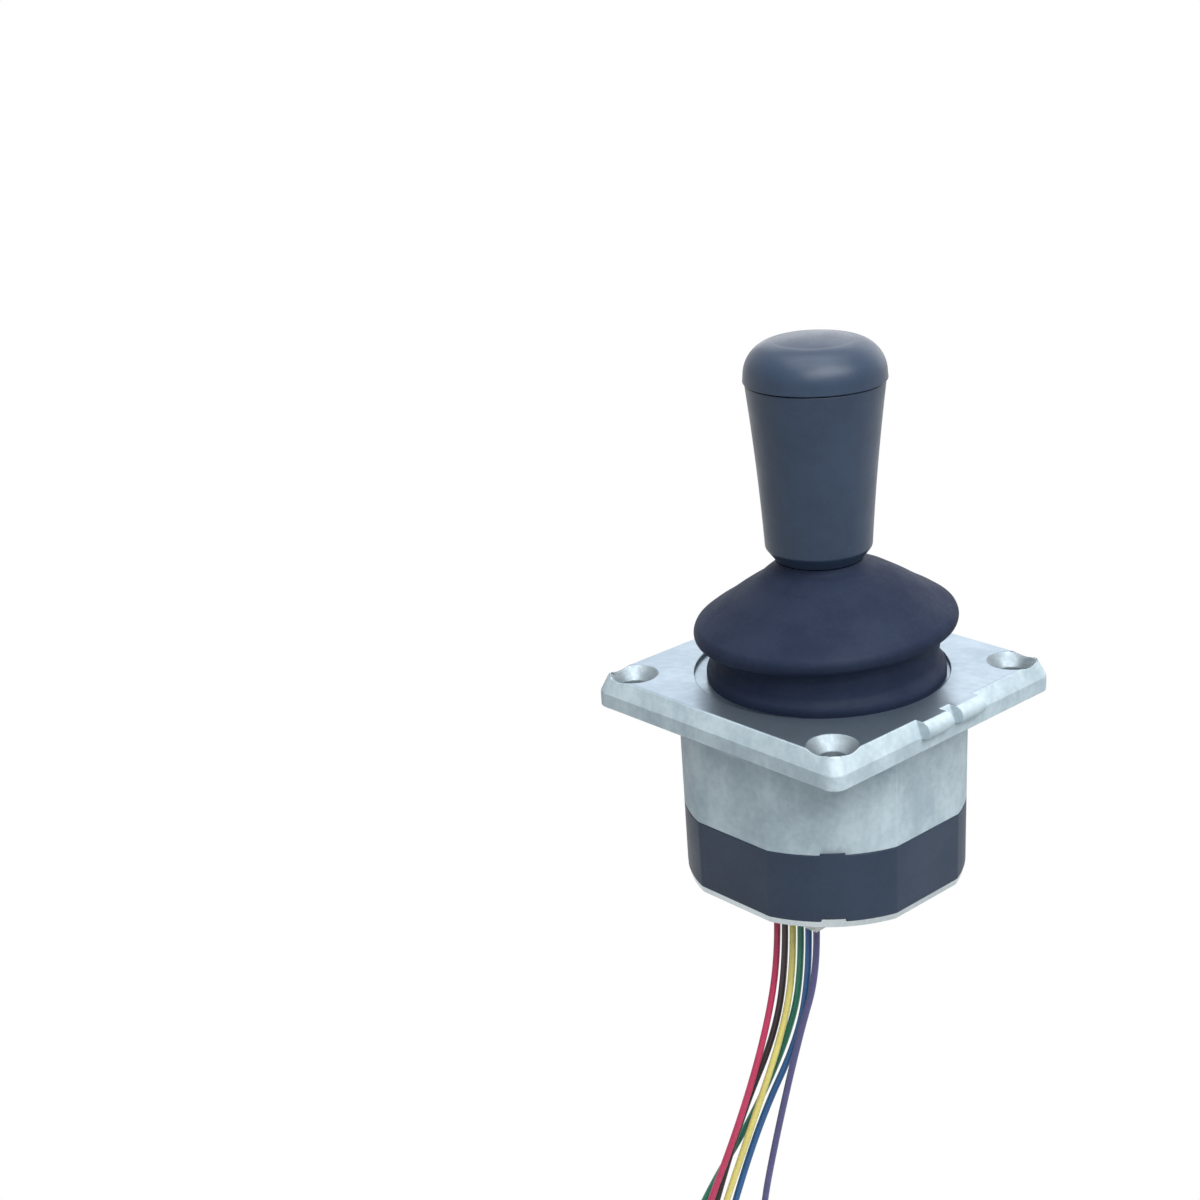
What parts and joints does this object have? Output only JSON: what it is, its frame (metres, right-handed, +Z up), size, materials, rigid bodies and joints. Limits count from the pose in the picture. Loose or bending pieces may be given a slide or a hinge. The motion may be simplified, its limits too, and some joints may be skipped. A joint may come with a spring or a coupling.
{
  "type": "industrial joystick",
  "caption": "Two-axis panel-mount joystick with a tapered knob, rubber boot, square flange, round body with four flats, gimbal, magnetic sensor board and a plug with flying leads.",
  "frame": {"origin": "centre of the flange's underside, the face that rests on the panel", "axes": "+Z up the lever at rest to the knob, +X to the flange side with the two casting stubs"},
  "size_m": [0.0615, 0.0757, 0.261],
  "materials": {
    "cast_aluminium": "die-cast, satin, with flow marks",
    "black_shell": "moulded, satin",
    "plate_steel": "bright rolled sheet",
    "screw_steel": "nickel plated",
    "carrier_zinc": "zinc die casting",
    "pin_steel": "ground",
    "spring_steel": "spring wire",
    "sleeve_plastic": "natural acetal",
    "boot_rubber": "matte moulded rubber",
    "pressed_steel": "zinc plated",
    "circuit_board": "green solder mask",
    "chip_black": "moulded package",
    "plug_white": "white nylon",
    "tinned_copper": "tinned",
    "sticker_white": "white film",
    "wire_violet": "insulation",
    "wire_blue": "insulation",
    "wire_green": "insulation",
    "wire_yellow": "insulation",
    "wire_black": "insulation",
    "wire_red": "insulation",
    "bush_bronze": "sintered bronze",
    "magnet_nickel": "nickel plated",
    "insert_brass": "turned",
    "knob_black": "moulded, satin"
  },
  "bodies": {
    "housing": {"flange_housing": "cast_aluminium", "lower_shell": "black_shell", "bottom_plate": "plate_steel", "plate_screws": "screw_steel", "gimbal_carrier": "carrier_zinc", "carrier_screws": "screw_steel", "outer_pivot_pins": "pin_steel", "torsion_spring_x": "spring_steel", "spacer_sleeve_x": "sleeve_plastic", "boot": "boot_rubber", "limiter_plate": "pressed_steel", "limiter_screws": "screw_steel", "sensor_board": "circuit_board", "board_screws": "screw_steel", "hall_sensor": "chip_black", "board_parts": "chip_black", "pin_header": "plug_white", "header_pins": "tinned_copper", "plug_housing": "plug_white", "plug_terminals": "tinned_copper", "sticker": "sticker_white", "wire_tips": "tinned_copper", "wire_violet": "wire_violet", "wire_blue": "wire_blue", "wire_green": "wire_green", "wire_yellow": "wire_yellow", "wire_black": "wire_black", "wire_red": "wire_red"},
    "gimbal": {"gimbal_ring": "carrier_zinc", "ring_bushes": "bush_bronze", "cross_pin": "pin_steel", "pin_clips": "spring_steel", "torsion_spring_y": "spring_steel", "spacer_sleeve_y": "sleeve_plastic"},
    "lever": {"lever_hub": "pin_steel", "hub_bush": "bush_bronze", "lever_shaft": "pin_steel", "boot_washer": "screw_steel", "collar_nut": "screw_steel", "magnet_holder": "sleeve_plastic", "magnet": "magnet_nickel", "knob_insert": "insert_brass", "knob_grip": "knob_black", "knob_cap": "knob_black"}
  },
  "joints": [
    {"name": "tilt_x", "type": "hinge", "parent": "housing", "child": "gimbal", "pos_m": [0, 0, -0.007], "axis": [1, 0, 0], "range_deg": [-20, 20], "stiffness_Nm_per_rad": 0.5, "deforming": ["torsion_spring_x", "boot"]},
    {"name": "tilt_y", "type": "hinge", "parent": "gimbal", "child": "lever", "pos_m": [0, 0, -0.007], "axis": [0, 1, 0], "range_deg": [-20, 20], "stiffness_Nm_per_rad": 0.5, "deforming": ["torsion_spring_y", "boot"]}
  ]
}
